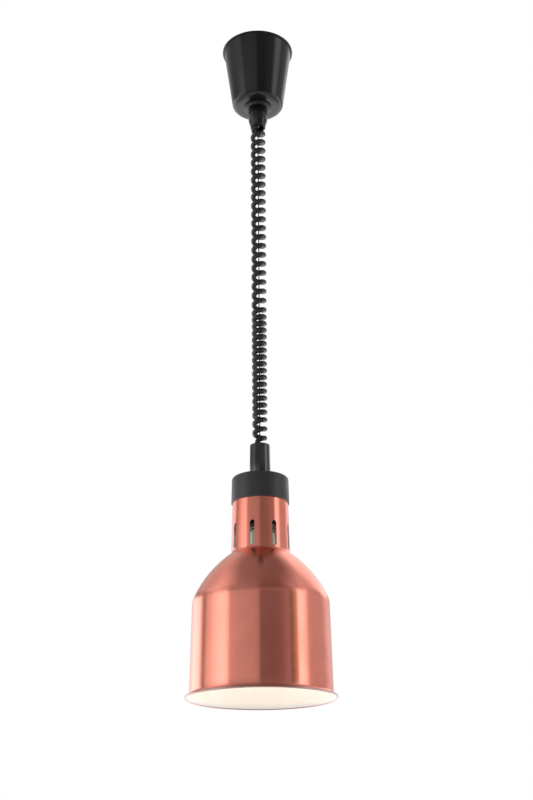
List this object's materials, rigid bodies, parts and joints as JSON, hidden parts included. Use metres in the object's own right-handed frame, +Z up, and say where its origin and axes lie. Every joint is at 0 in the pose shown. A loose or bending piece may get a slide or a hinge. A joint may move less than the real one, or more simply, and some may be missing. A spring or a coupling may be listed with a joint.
{
  "type": "rise-and-fall heat lamp",
  "caption": "Pendant heat lamp that hangs from a ceiling cup on a reeled wire with a curly cord: slotted copper-coloured shade, black cap and a reflector bulb.",
  "frame": {"origin": "on the ceiling, midway between the two ceiling screws, on the axis of the suspension wire", "axes": "+Z up; the two ceiling screws lie along X; the lamp hangs along -Z"},
  "size_m": [0.175, 0.175, 0.8932],
  "materials": {
    "plate_steel": "zinc-plated sheet steel",
    "fastener_steel": "bright zinc-plated steel",
    "cup_gloss_black": "glossy moulded black",
    "gland_black": "glossy moulded black",
    "reel_grey": "moulded grey",
    "guide_white": "slippery white plastic",
    "drum_orange": "moulded orange",
    "spring_steel": "blued spring strip",
    "wire_black": "steel rope in a thin black sheath",
    "cord_black": "smooth black sheath",
    "core_brown": "brown core insulation",
    "terminal_nylon": "natural nylon",
    "brass": "plain brass",
    "base_aluminium": "rolled aluminium",
    "sleeve_gloss_black": "glossy moulded black",
    "cap_satin_black": "satin charcoal-black paint",
    "copper_shade": "copper-coloured anodised aluminium, white inside",
    "holder_ceramic": "dark brown glaze",
    "bulb_glass": "reflector glass, silvered inside, frosted face",
    "insulator_glass": "black glass",
    "tungsten": "drawn tungsten"
  },
  "bodies": {
    "ceiling_unit": {"ceiling_plate": "plate_steel", "reel_frame": "plate_steel", "frame_screws": "fastener_steel", "ceiling_cup": "cup_gloss_black", "reel_case": "reel_grey", "reel_cover": "reel_grey", "reel_axle": "fastener_steel", "axle_nut": "fastener_steel", "case_screw": "fastener_steel", "wire_guide": "guide_white", "outlet_nipple": "fastener_steel", "nipple_nuts": "fastener_steel", "gland_flange": "gland_black", "gland_body": "gland_black", "terminal_block": "terminal_nylon", "terminal_barrels": "brass", "terminal_screws": "fastener_steel", "block_screw": "fastener_steel", "cord_tail_ceiling": "cord_black", "leads_ceiling": "core_brown", "curly_cord": "cord_black", "suspension_wire": "wire_black"},
    "reel": {"reel_drum": "drum_orange", "mainspring": "spring_steel", "wound_wire": "wire_black"},
    "lamp": {"stem_sleeve": "sleeve_gloss_black", "anchor_plate": "plate_steel", "wire_ferrule": "fastener_steel", "stem_nut": "fastener_steel", "cap": "cap_satin_black", "lamp_bridge": "plate_steel", "shade": "copper_shade", "holder_strap": "plate_steel", "bridge_bolts": "fastener_steel", "bridge_nuts": "fastener_steel", "cord_grip": "terminal_nylon", "grip_screws": "fastener_steel", "cord_tail_lamp": "cord_black", "leads_lamp": "core_brown", "lampholder": "holder_ceramic", "holder_screws": "fastener_steel", "holder_terminals": "brass", "screw_shell": "brass", "centre_contact": "brass"},
    "bulb_foot": {"bulb_contact": "brass", "bulb_insulator": "insulator_glass"},
    "bulb": {"bulb_glass": "bulb_glass", "bulb_base": "base_aluminium", "glass_stem": "bulb_glass", "filament_supports": "tungsten", "filament": "tungsten"}
  },
  "joints": [
    {"name": "drop", "type": "slide", "parent": "ceiling_unit", "child": "lamp", "axis": [0, 0, -1], "range_m": [-0.17, 0.6], "deforming": ["curly_cord", "suspension_wire"]},
    {"name": "reel_spin", "type": "hinge", "parent": "ceiling_unit", "child": "reel", "pos_m": [-0.0138, 0, -0.043], "axis": [0, 1, 0], "range_deg": [-720, 2520]},
    {"name": "bulb_travel", "type": "slide", "parent": "lamp", "child": "bulb_foot", "axis": [0, 0, -1], "range_m": [0, 0.0216]},
    {"name": "bulb_turn", "type": "hinge", "parent": "bulb_foot", "child": "bulb", "pos_m": [0, 0, -0.7], "axis": [0, 0, -1], "range_deg": [0, 2160]}
  ],
  "couplings": [
    {"joint": "reel_spin", "follows": "drop", "rad_per_m": 72.464},
    {"joint": "bulb_travel", "follows": "bulb_turn", "m_per_rad": 0.00057296}
  ]
}
